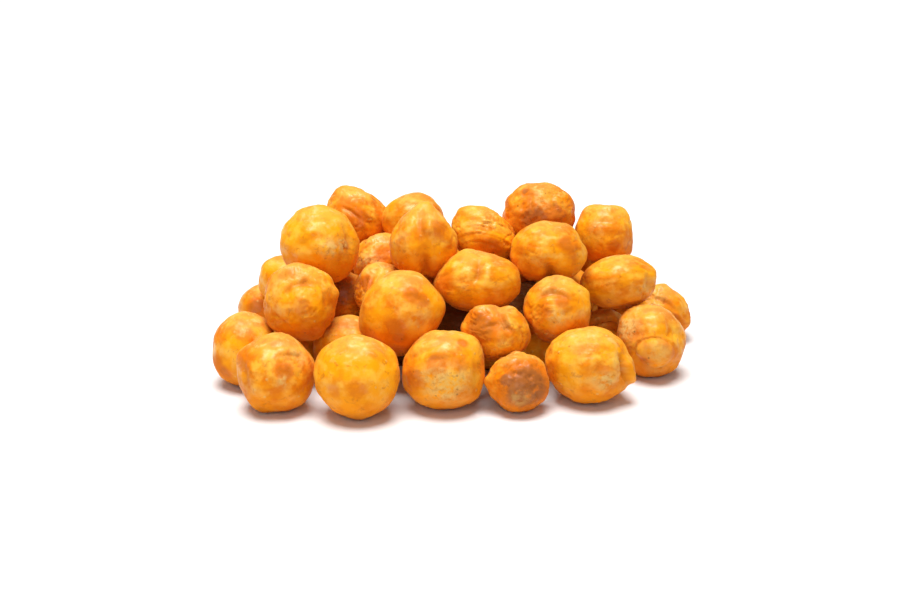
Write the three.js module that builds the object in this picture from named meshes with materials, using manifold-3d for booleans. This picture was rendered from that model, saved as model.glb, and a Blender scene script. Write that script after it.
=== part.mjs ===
// A loose heap of roasted chickpeas, lying as it fell on a bare surface.
// Sizes are in mm, +Z is up, the heap is looked at from -Y, and z = 0 is the surface it lies on.
// The chickpeas in front and on top have places of their own, measured square to the line of sight.
// The ones at the back and inside, which hold those up, settle into the hollows that are left.
// The heap is one body: a smaller core, with every chickpea that shows fused onto it.
import * as THREE from "three";
import { mergeVertices } from "three/addons/utils/BufferGeometryUtils.js";
import Module from "manifold-3d";

// ---- The line of sight -------------------------------------------------------------------------
const LOOK_DOWN_DEG = 20;
const EYE_DISTANCE = 260;
const MIDDLE_HEIGHT = 10;

// ---- How the chickpeas touch -------------------------------------------------------------------
const TOUCH = 0.955; // distance between two that touch, over the sum of their mean radii
const FLAT_SPOT_DEPTH = 0.12; // how far the skin is pressed flat where one lies on the surface
const HIDDEN_RADIUS = 3.8;
const HIDDEN_RADIUS_SPREAD = 0.6;
const SETTLE_STEPS = 300;
const SETTLE_DROP = 0.05;
const SEED = 5;

// ---- The core under the chickpeas --------------------------------------------------------------
// Its outline on the surface, across and behind the middle, its rings from the bottom to the top, each
// [height, size over the outline], and the height of its top, with how far that has moved back.
// It stays behind the gaps between the front chickpeas, which are deep.
const CORE_OUTLINE = [
  [-21.3, -10.6], [-10, -11.7], [-6, -8], [-3, -5.5], [4, -3.5], [20, -3.5], [26.3, 1.5],
  [25, 12], [19, 17.5], [4, 20.5], [-8, 23.3], [-18, 16.5], [-20.5, 8], [-23.3, -3],
];
const CORE_MIDDLE = [1, 6];
const CORE_RINGS = [[0, 0.94], [3.5, 0.9], [9, 0.6]];
const CORE_TOP = [12.6, 1.5];

// ---- How finely a chickpea is faceted ----------------------------------------------------------
const DETAIL_IN_FRONT = 3;
const DETAIL_BEHIND = 2;
// Those narrower than this peep out of the gaps. They and the ones in the back half are plainer.
const SMALL = 7.6;
const BACK_HALF = 3;
// The corners stand out, so that the flat facets between them keep the true size.
const FACET_GROWTH = { 2: 1.03, 3: 1.017 };

// ---- The chickpeas in front and on top, from the nearest to the farthest ------------------------
// at: across and up from the middle of the heap. size: width and height. lean: turn of the long
// side, counterclockwise, in degrees. back: least distance behind the middle, or FLOOR for one that
// lies on the surface. bumps: beaks, nubs and corners, each [right, up, toward the eye, rise, reach].
// clefts: the furrow between the two halves, each [right, up, toward the eye, depth, turn].
const FLOOR = "floor";
const IN_SIGHT = [
  {
    at: [-12.1, -10], size: [11.2, 10.9], lean: 0, back: FLOOR,
    bumps: [
      [0.8, 0.55, 0.1, 0.051, 0.05], [-0.72, 0.68, 0.1, 0.034, 0.06], [-0.1, 0.95, 0.2, 0.034, 0.05],
      [-0.75, -0.65, 0.1, -0.034, 0.06],
    ],
    clefts: [],
  },
  {
    at: [-22.6, -9.6], size: [10.1, 9.9], lean: 0, back: FLOOR,
    bumps: [
      [0.08, 1, 0.1, 0.085, 0.05], [-0.85, 0.5, 0.15, 0.085, 0.06], [0.95, 0.1, 0.1, 0.051, 0.06],
      [0.75, -0.65, 0.1, 0.085, 0.06], [-0.4, -0.9, 0.1, 0.085, 0.06], [-0.85, -0.5, 0.1, -0.068, 0.04],
      [0.65, 0.7, 0.15, -0.034, 0.04],
    ],
    clefts: [],
  },
  {
    at: [-0.9, -9.1], size: [10.8, 10.5], lean: 0, back: FLOOR,
    bumps: [
      [0.78, 0.62, 0.15, 0.102, 0.05], [0.78, -0.66, 0.15, 0.102, 0.05],
      [-0.72, -0.66, 0.1, 0.034, 0.06], [-0.8, 0.6, 0.1, -0.051, 0.05],
    ],
    clefts: [[-0.1, 0.9, 0.4, 0.05, 20]],
  },
  {
    at: [8.8, -10.7], size: [8, 7.9], lean: 0, back: FLOOR,
    bumps: [
      [-1, 0.02, 0.1, 0.12, 0.02], [0.75, 0.65, 0.1, 0.051, 0.05], [-0.55, 0.8, 0.1, -0.034, 0.05],
    ],
    clefts: [[-0.1, 0.5, 0.8, 0.04, 10]],
  },
  {
    at: [18, -8.5], size: [11.3, 9.8], lean: -8, back: FLOOR,
    bumps: [
      [0.9, -0.42, 0.15, 0.111, 0.02], [0.97, 0.1, 0.2, 0.068, 0.04], [-0.75, 0.6, 0.15, 0.051, 0.08],
      [0.45, 0.85, 0.15, 0.051, 0.06],
    ],
    clefts: [[0.8, 0.1, 0.55, 0.05, 75]],
  },
  {
    at: [-26.4, -6.5], size: [8.8, 9.6], lean: 15, back: FLOOR,
    bumps: [[-0.1, 1, 0.1, 0.034, 0.05], [-0.75, -0.7, 0.1, 0.068, 0.06], [0.6, 0.8, 0.1, 0.034, 0.05]],
    clefts: [],
  },
  {
    at: [26, -5.2], size: [8.6, 9.5], lean: 12, back: FLOOR,
    bumps: [
      [0.12, -0.25, 0.96, 0.102, 0.08], [-0.8, 0.65, 0.2, 0.085, 0.06], [0.95, 0.1, 0.1, 0.051, 0.07],
      [0.8, -0.6, 0.1, 0.068, 0.06], [-0.3, -0.95, 0.2, 0.051, 0.06],
    ],
    clefts: [[0.1, 0.15, 1, 0.08, 0]],
  },
  {
    at: [6.1, -4.3], size: [8.8, 7.4], lean: -10, back: -8,
    bumps: [
      [-0.5, 0.8, 0.35, 0.136, 0.06], [0.45, 0.85, 0.25, 0.12, 0.05], [0.1, -0.5, 0.9, 0.119, 0.1],
      [-0.98, 0.1, 0.15, 0.068, 0.04], [-0.6, -0.75, 0.1, -0.085, 0.06], [0.7, -0.7, 0.1, -0.051, 0.05],
    ],
    clefts: [[0.12, 0.9, 0.4, 0.14, 75]],
  },
  {
    at: [-6.4, -1.6], size: [10.7, 10.7], lean: 35, back: -8.5,
    bumps: [
      [0.98, 0.2, 0.15, 0.102, 0.05], [-0.1, -1, 0.1, 0.068, 0.07], [-0.88, -0.45, 0.1, 0.068, 0.06],
      [-0.72, 0.68, 0.1, -0.051, 0.06], [0.7, -0.7, 0.1, -0.051, 0.05],
    ],
    clefts: [],
  },
  {
    at: [-19.4, -0.3], size: [9.5, 10], lean: 0, back: -3.6,
    bumps: [
      [0.98, 0.22, 0.1, 0.076, 0.01], [0.78, 0.65, 0.2, 0.085, 0.04], [-0.8, 0.62, 0.1, 0.051, 0.05],
      [-0.78, -0.6, 0.15, 0.068, 0.05], [0.5, -0.85, 0.1, 0.068, 0.06], [-0.2, 0.95, 0.2, 0.034, 0.05],
    ],
    clefts: [[0, 0.55, 0.8, 0.05, 0]],
  },
  {
    at: [13.9, -1.2], size: [8.8, 8.5], lean: 40, back: -6,
    bumps: [
      [-0.85, 0.5, 0.25, 0.085, 0.04], [-0.15, 0.98, 0.2, 0.068, 0.06], [0.85, 0.5, 0.2, 0.068, 0.05],
      [0.9, -0.4, 0.15, 0.068, 0.06], [-0.3, -0.95, 0.15, 0.068, 0.07],
      [-0.8, -0.55, 0.1, -0.051, 0.05],
    ],
    clefts: [[-0.1, 0.6, 0.75, 0.06, 20]],
  },
  {
    at: [-13.5, -6.4], size: [8.6, 8.6], lean: 0, back: FLOOR,
    bumps: [[0.1, 0.9, 0.3, 0.068, 0.06]],
    clefts: [],
  },
  {
    at: [-8.8, 1.2], size: [7.2, 7.4], lean: 0, back: 0,
    bumps: [[-0.6, 0.7, 0.3, 0.13, 0.06], [-0.9, -0.1, 0.2, 0.068, 0.05]],
    clefts: [[-0.6, 0.3, 0.7, 0.06, 70]],
  },
  {
    at: [3.5, 2.3], size: [11, 7.9], lean: -4, back: -2.5,
    bumps: [
      [-0.22, 0.97, 0.2, 0.16, 0.045], [0.72, 0.4, 0.45, 0.136, 0.12], [-0.95, -0.35, 0.1, 0.034, 0.08],
      [-0.7, 0.65, 0.1, -0.051, 0.06], [0.3, -0.95, 0.15, 0.051, 0.08],
    ],
    clefts: [[-0.05, 0.1, 1, 0.06, 80]],
  },
  {
    at: [21.8, 2.3], size: [9.8, 7], lean: 8, back: 3.5,
    bumps: [
      [0.85, 0.35, 0.35, 0.085, 0.05], [0.25, 0.95, 0.15, 0.051, 0.08], [0.9, -0.4, 0.2, 0.068, 0.05],
    ],
    clefts: [],
  },
  {
    at: [-16.9, 7.3], size: [10.3, 9.8], lean: -20, back: 4,
    bumps: [[0.5, -0.85, 0.1, 0.085, 0.08], [0.1, 1, 0.1, 0.034, 0.08], [-0.8, -0.6, 0.1, 0.034, 0.08]],
    clefts: [[0.68, 0, 0.7, 0.04, 80]],
  },
  {
    at: [5.1, -5.5], size: [7, 7], lean: 0, back: FLOOR,
    bumps: [[0.2, 0.8, 0.5, 0.085, 0.06]],
    clefts: [],
  },
  {
    at: [-0.3, -4.4], size: [6.5, 6.5], lean: 0, back: FLOOR,
    bumps: [[0.4, 0.7, 0.5, 0.102, 0.06]],
    clefts: [],
  },
  {
    at: [19.9, -4.3], size: [6.8, 6.2], lean: 0, back: FLOOR,
    bumps: [[0.2, 0.9, 0.4, 0.13, 0.05], [-0.8, 0.4, 0.3, 0.102, 0.04]],
    clefts: [],
  },
  {
    at: [27.4, -1.7], size: [7.5, 7], lean: -30, back: FLOOR,
    bumps: [[0.9, -0.3, 0.3, 0.117, 0.04], [0.1, 0.95, 0.2, 0.119, 0.06]],
    clefts: [[0.3, 0.3, 0.9, 0.06, -40]],
  },
  {
    at: [-21.3, 2.3], size: [7, 7], lean: 0, back: 11.7,
    bumps: [[-0.7, 0.6, 0.2, 0.085, 0.08]],
    clefts: [],
  },
  {
    at: [-24.2, -1.2], size: [6.5, 6.5], lean: 0, back: FLOOR,
    bumps: [[-0.6, 0.3, 0.7, 0.102, 0.08], [0, 1, 0.1, 0.051, 0.05]],
    clefts: [],
  },
  {
    at: [-13.9, 0], size: [7.3, 7.3], lean: 0, back: 5,
    bumps: [[0.3, 0.6, 0.7, 0.085, 0.06]],
    clefts: [],
  },
  {
    at: [-3.5, 7.3], size: [8.8, 9.6], lean: 0, back: 1,
    bumps: [
      [0.08, 1, 0.25, 0.19, 0.04], [0.25, 0.45, 0.85, 0.119, 0.05], [-0.85, -0.4, 0.2, 0.068, 0.06],
      [0.9, -0.35, 0.2, 0.068, 0.06], [-0.7, 0.65, 0.1, -0.068, 0.06], [0.75, 0.65, 0.1, -0.068, 0.06],
    ],
    clefts: [[0.1, -0.85, 0.5, 0.1, 90]],
  },
  {
    at: [12.7, 6.4], size: [9.8, 7.9], lean: 0, back: 1,
    bumps: [
      [0.98, -0.15, 0.2, 0.085, 0.07], [-0.55, -0.7, 0.35, 0.102, 0.1],
      [0.55, -0.75, 0.25, 0.085, 0.07], [0.9, 0.35, 0.1, -0.085, 0.03],
    ],
    clefts: [[0.08, -0.95, 0.35, 0.16, 90]],
  },
  {
    at: [-8.8, 4.9], size: [7.3, 7.3], lean: 0, back: 5,
    bumps: [[-0.6, 0.6, 0.4, 0.085, 0.06]],
    clefts: [],
  },
  {
    at: [4.4, 8.3], size: [8.9, 7.1], lean: -28, back: 7,
    bumps: [[-0.55, 0.85, 0.15, 0.13, 0.06], [0.85, -0.3, 0.2, 0.051, 0.06]],
    clefts: [[0.1, 0.3, 0.9, 0.08, -20]],
  },
  {
    at: [-4.9, 10.4], size: [8.2, 6.8], lean: 5, back: 11,
    bumps: [[0.1, 1, 0.1, 0.051, 0.08], [-0.8, 0.5, 0.1, -0.034, 0.06]],
    clefts: [],
  },
  {
    at: [-12.2, 10.5], size: [8.5, 7.6], lean: -42, back: 9,
    bumps: [[-0.4, 0.95, 0.2, 0.136, 0.06], [0.9, 0.2, 0.1, 0.051, 0.06]],
    clefts: [[-0.15, 0.35, 0.9, 0.07, -35]],
  },
  {
    at: [11.6, 11.1], size: [9.3, 8.4], lean: 0, back: 9,
    bumps: [
      [-0.85, -0.3, 0.3, 0.068, 0.1], [-0.65, -0.75, 0.1, 0.068, 0.08], [0.85, 0.45, 0.1, 0.051, 0.05],
      [-0.65, 0.75, 0.1, 0.034, 0.05],
    ],
    clefts: [[0.2, -0.35, 0.9, 0.05, 10]],
  },
  {
    at: [20, 8.6], size: [7.3, 7.8], lean: 0, back: 9,
    bumps: [
      [0.75, 0.72, 0.1, 0.117, 0.06], [-0.65, 0.78, 0.15, 0.102, 0.06], [0.8, -0.65, 0.1, 0.119, 0.08],
      [0.05, 1, 0.1, -0.034, 0.04],
    ],
    clefts: [[0, 0.5, 0.85, 0.07, 0]],
  },
];

// ---- The chickpeas at the back and inside, seen from above: across and behind the middle --------
// The ones inside the core hold up the others, and none of their skin shows.
const INSIDE = [[-7.5, 8], [12.5, 0.8], [8, 9], [0.5, 13.5], [16, 13], [-8.5, 17], [7.5, 18]];
const BEHIND_ON_THE_FLOOR = [
  [-20, 2.5], [-16, 13], [24, 18.5], [-19, 21.5], [-9.5, 24.3], [-1, 22.5], [16, 22], [5.5, 25],
];
const BEHIND_HIGHER_UP = [
  [-15, 19, 10], [-5.5, 19.5, 10.5], [2.5, 18.5, 10.5], [11, 17.5, 10.5], [20.5, 14, 10],
  [8, 10.5, 9.5], [15, 6.5, 8.5], [-1, 10, 10],
];

// ---- The skin ----------------------------------------------------------------------------------
const LUMPS = 6;
const LUMP_RISE = 0.045;
const LUMP_REACH = 0.1;
const CLEFT_WIDTH = 0.16;
const SKIN_COLOUR = 0xe59a2c;
const SKIN_ROUGHNESS = 0.42;

const radians = Math.PI / 180;
const cosDown = Math.cos(LOOK_DOWN_DEG * radians);
const sinDown = Math.sin(LOOK_DOWN_DEG * radians);
const eye = [0, -EYE_DISTANCE * cosDown, MIDDLE_HEIGHT + EYE_DISTANCE * sinDown];
const forward = [0, cosDown, -sinDown];
const upward = [0, sinDown, cosDown];

const dot = (a, b) => a[0] * b[0] + a[1] * b[1] + a[2] * b[2];
const along = (start, way, length) => start.map((value, i) => value + way[i] * length);
const unit = (a) => a.map((value) => value / Math.sqrt(dot(a, a)));

// A fixed run of even numbers between 0 and 1, the same each time for one seed.
function evenNumbers(seed) {
  let state = seed;
  return () => {
    state = (state * 16807) % 2147483647;
    return state / 2147483647;
  };
}

// The line from the eye through a place measured square to the line of sight.
function sightLine([across, up]) {
  const way = [0, 1, 2].map(
    (i) => forward[i] + (upward[i] * up) / EYE_DISTANCE + (i === 0 ? across / EYE_DISTANCE : 0),
  );
  return unit(way);
}

// Half the height of a chickpea of this size as it lies, before its lumps.
function halfHeight(half) {
  const tall = half[1] * cosDown;
  const thick = half[2] * sinDown;
  return Math.sqrt(tall * tall + thick * thick);
}

// Each chickpea in sight lies on its sight line, just behind the ones before it that it touches.
function placeInSight() {
  const placed = [];
  for (const pea of IN_SIGHT) {
    const way = sightLine(pea.at);
    let nearness = 1;
    let centre;
    let half;
    let radius;
    for (let round = 0; round < 6; round += 1) {
      const [wide, tall] = pea.size.map((value) => (value / 2) * nearness);
      half = [wide, tall, (wide + tall) / 2];
      radius = (wide + tall) / 2;
      let length = (halfHeight(half) - FLAT_SPOT_DEPTH - eye[2]) / way[2];
      if (pea.back !== FLOOR) {
        length = (pea.back - eye[1]) / way[1];
        for (const other of placed) {
          const gap = (radius + other.radius) * TOUCH;
          const toOther = other.centre.map((value, i) => value - eye[i]);
          const beside = dot(toOther, way);
          const square = beside * beside - dot(toOther, toOther) + gap * gap;
          if (square > 0) {
            const near = beside - Math.sqrt(square);
            const far = beside + Math.sqrt(square);
            if (length > near - 3 && length < far) {
              length = far;
            }
          }
        }
      }
      centre = along(eye, way, length);
      nearness = dot(centre.map((value, i) => value - eye[i]), forward) / EYE_DISTANCE;
    }
    const plain = pea.size[0] < SMALL || centre[1] > BACK_HALF;
    const detail = plain ? DETAIL_BEHIND : DETAIL_IN_FRONT;
    placed.push({ ...pea, centre, half, radius, held: true, detail });
  }
  return placed;
}

// Pushes apart every two chickpeas that are closer than touching. Held ones stay where they are.
function pushApart(peas, level) {
  for (let a = 0; a < peas.length; a += 1) {
    for (let b = a + 1; b < peas.length; b += 1) {
      const one = peas[a];
      const two = peas[b];
      const reach = (one.radius + two.radius) * TOUCH;
      const apart = two.centre.map((value, i) => value - one.centre[i]);
      const square = dot(apart, apart);
      if (square < reach * reach && !(one.held && two.held)) {
        const push = (reach - Math.sqrt(square)) / Math.sqrt(square);
        const share = one.held ? 0 : two.held ? 1 : 0.5;
        for (let i = 0; i < (level ? 2 : 3); i += 1) {
          one.centre[i] -= apart[i] * push * share;
          two.centre[i] += apart[i] * push * (1 - share);
        }
      }
    }
  }
}

// The hidden chickpeas: first the ones on the surface, then the ones that drop into their hollows.
function settleHidden(peas) {
  const draw = evenNumbers(SEED);
  for (let i = 0; i < 10; i += 1) {
    draw();
  }
  const grow = ([x, y, z]) => {
    const radius = HIDDEN_RADIUS + HIDDEN_RADIUS_SPREAD * draw();
    const half = [radius * 1.04, radius * 0.97, radius];
    return {
      centre: [x, y, z ?? radius], radius, half, held: false, detail: DETAIL_BEHIND,
      lean: 180 * draw(), bumps: [[draw() - 0.5, draw() - 0.3, draw() - 0.8, 0.12, 0.04]], clefts: [],
      back: z === undefined ? FLOOR : y,
    };
  };
  const low = [...INSIDE, ...BEHIND_ON_THE_FLOOR].map(grow);
  peas.push(...low);
  const onTheFloor = peas.filter((pea) => pea.centre[2] < pea.radius + 4);
  for (let step = 0; step < 100; step += 1) {
    pushApart(onTheFloor, true);
  }
  for (const pea of low) {
    pea.held = true;
  }
  const high = BEHIND_HIGHER_UP.map(grow);
  peas.push(...high);
  for (let step = 0; step < SETTLE_STEPS; step += 1) {
    for (const pea of high) {
      pea.centre[2] -= SETTLE_DROP * (1 - step / SETTLE_STEPS);
    }
    for (let round = 0; round < 2; round += 1) {
      pushApart(peas, false);
      for (const pea of high) {
        pea.centre[2] = Math.max(pea.centre[2], pea.radius);
      }
    }
  }
  return peas;
}

// How far the skin lies from a chickpea's centre that way, over an even oval: lumps, beak and cleft.
function swell(way, pea) {
  let far = 1;
  for (const lump of pea.lumps) {
    far += lump.rise * Math.exp((dot(way, lump.way) - 1) / LUMP_REACH);
  }
  for (const [right, up, toward, rise, reach] of pea.bumps) {
    far += rise * Math.exp((dot(way, unit([right, up, toward])) - 1) / reach);
  }
  for (const [right, up, toward, depth, turn] of pea.clefts) {
    const middle = unit([right, up, toward]);
    const across = [-Math.sin(turn * radians), Math.cos(turn * radians), 0];
    const aside = dot(way, across) - dot(middle, across);
    const facing = Math.max(0, dot(way, middle));
    far -= depth * Math.exp(-(aside * aside) / (CLEFT_WIDTH * CLEFT_WIDTH)) * facing * facing;
  }
  return far;
}

// One chickpea as a closed faceted skin. The ones on the surface come down to it at their lowest point.
function chickpeaSkin(pea) {
  const skin = new THREE.IcosahedronGeometry(1, pea.detail);
  skin.deleteAttribute("normal");
  skin.deleteAttribute("uv");
  const ball = mergeVertices(skin, 1e-4);
  const spot = ball.attributes.position;
  const lean = pea.lean * radians;
  let lowest = Infinity;
  for (let i = 0; i < spot.count; i += 1) {
    const way = unit([spot.getX(i), spot.getY(i), spot.getZ(i)]);
    const far = swell(way, pea);
    const turned = [
      way[0] * Math.cos(lean) + way[1] * Math.sin(lean),
      way[1] * Math.cos(lean) - way[0] * Math.sin(lean),
      way[2],
    ].map((value, k) => value * pea.half[k] * far * FACET_GROWTH[pea.detail]);
    const right = turned[0] * Math.cos(lean) - turned[1] * Math.sin(lean);
    const up = turned[0] * Math.sin(lean) + turned[1] * Math.cos(lean);
    const z = pea.centre[2] + up * cosDown + turned[2] * sinDown;
    spot.setXYZ(i, pea.centre[0] + right, pea.centre[1] + up * sinDown - turned[2] * cosDown, z);
    lowest = Math.min(lowest, z);
  }
  if (pea.back === FLOOR) {
    ball.translate(0, 0, -lowest - FLAT_SPOT_DEPTH);
  }
  return ball;
}

// The core: rings of one outline, smaller with height, closed under and on top.
function coreDome() {
  const sides = CORE_OUTLINE.length;
  const corners = [];
  for (const [height, size] of CORE_RINGS) {
    for (const [x, y] of CORE_OUTLINE) {
      const across = CORE_MIDDLE[0] + (x - CORE_MIDDLE[0]) * size;
      const behind = CORE_MIDDLE[1] + (y - CORE_MIDDLE[1]) * size;
      corners.push(across, behind, height);
    }
  }
  const top = corners.length / 3;
  corners.push(CORE_MIDDLE[0], CORE_MIDDLE[1] + CORE_TOP[1], CORE_TOP[0]);
  corners.push(CORE_MIDDLE[0], CORE_MIDDLE[1], 0);
  const faces = [];
  for (let i = 0; i < sides; i += 1) {
    const next = (i + 1) % sides;
    faces.push(top + 1, next, i);
    for (let ring = 0; ring < CORE_RINGS.length - 1; ring += 1) {
      const low = ring * sides;
      const high = low + sides;
      faces.push(low + i, low + next, high + next, low + i, high + next, high + i);
    }
    faces.push(top - sides + i, top - sides + next, top);
  }
  const core = new THREE.BufferGeometry();
  core.setAttribute("position", new THREE.Float32BufferAttribute(corners, 3));
  core.setIndex(faces);
  return core;
}

const wasm = await Module();
wasm.setup();

function toSolid(geometry) {
  return new wasm.Manifold(
    new wasm.Mesh({
      numProp: 3,
      vertProperties: new Float32Array(geometry.attributes.position.array),
      triVerts: new Uint32Array(geometry.index.array),
    }),
  );
}

function toGeometry(solid) {
  const mesh = solid.getMesh();
  const geometry = new THREE.BufferGeometry();
  geometry.setAttribute("position", new THREE.BufferAttribute(new Float32Array(mesh.vertProperties), 3));
  geometry.setIndex(new THREE.BufferAttribute(new Uint32Array(mesh.triVerts), 1));
  return geometry;
}

// The whole heap, cut off level where it lies on the surface.
function heapSolid() {
  const peas = settleHidden(placeInSight());
  const inside = new Set(peas.slice(IN_SIGHT.length, IN_SIGHT.length + INSIDE.length));
  const draw = evenNumbers(SEED + 1);
  let heap = toSolid(coreDome());
  for (const pea of peas) {
    pea.lumps = Array.from({ length: LUMPS }, () => ({
      way: unit([draw() - 0.5, draw() - 0.5, draw() - 0.5]),
      rise: LUMP_RISE * (2 * draw() - 1),
    }));
    if (!inside.has(pea)) {
      heap = heap.add(toSolid(chickpeaSkin(pea)));
    }
  }
  const below = new THREE.BoxGeometry(200, 200, 40);
  below.deleteAttribute("normal");
  below.deleteAttribute("uv");
  below.translate(0, 0, -20);
  return heap.subtract(toSolid(mergeVertices(below, 1e-4)));
}

const heap = new THREE.Mesh(
  toGeometry(heapSolid()),
  new THREE.MeshStandardMaterial({ color: SKIN_COLOUR, roughness: SKIN_ROUGHNESS, metalness: 0 }),
);
heap.name = "chickpea_heap";

const part = new THREE.Group();
part.name = "roasted_chickpeas";
part.add(heap);

export default part;
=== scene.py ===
# A loose heap of roasted chickpeas on a bare pale table. Metres, +Z up, looked at from -Y.
import math

import bpy
import numpy as np
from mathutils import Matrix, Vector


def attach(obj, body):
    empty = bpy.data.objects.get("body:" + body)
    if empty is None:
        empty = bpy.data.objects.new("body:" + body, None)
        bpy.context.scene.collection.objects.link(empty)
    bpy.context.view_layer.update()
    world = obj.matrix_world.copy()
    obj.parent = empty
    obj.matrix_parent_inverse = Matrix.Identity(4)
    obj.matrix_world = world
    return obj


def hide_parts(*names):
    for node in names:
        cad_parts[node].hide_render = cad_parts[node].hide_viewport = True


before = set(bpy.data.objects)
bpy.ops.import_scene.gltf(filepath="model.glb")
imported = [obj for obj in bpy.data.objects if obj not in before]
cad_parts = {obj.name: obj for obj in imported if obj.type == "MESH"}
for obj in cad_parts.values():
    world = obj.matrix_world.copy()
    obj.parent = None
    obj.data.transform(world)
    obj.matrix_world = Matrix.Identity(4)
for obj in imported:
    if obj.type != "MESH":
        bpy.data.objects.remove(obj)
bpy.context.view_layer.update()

# ------------------------------------------------------------------------------------------------
# The heap as it lies. Whole chickpeas, soaked, fried in oil and seasoned, then tipped out on a bare
# table. They roll until each lies in the hollow between others. The ones in front and on top have
# places of their own, and the rest settle behind and under them. Places and sizes here are in mm.
# ------------------------------------------------------------------------------------------------
MM = 0.001
LOOK_DOWN_DEG = 20
EYE_DISTANCE = 260
MIDDLE_HEIGHT = 10

# Two that touch stand TOUCH times the sum of their mean radii apart. One that would lie in another,
# or less than ROOM_IN_FRONT before it, goes behind it. The table presses a flat spot into the skin.
TOUCH = 0.955
ROOM_IN_FRONT = 3
FLAT_SPOT_DEPTH = 0.12
PLACING_ROUNDS = 6
FLOOR = "floor"

# The hidden ones are a little wide and low, each with one beak of this rise and reach. Those that
# start less than LOW_DOWN over the table are spread first, and the higher ones then sink into place.
HIDDEN_RADIUS = 3.8
HIDDEN_RADIUS_SPREAD = 0.6
HIDDEN_WIDE = 1.04
HIDDEN_TALL = 0.97
HIDDEN_BEAK = [0.12, 0.04]
LOW_DOWN = 4
SPREADING_ROUNDS = 100
SETTLE_STEPS = 300
SETTLE_DROP = 0.05
PUSHES_A_STEP = 2

# Even draws, each from the one before. The first ones after a small seed are passed over.
SEED = 5
SKIPPED_DRAWS = 10
DRAW_FACTOR = 16807
DRAW_RANGE = 2147483647

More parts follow.
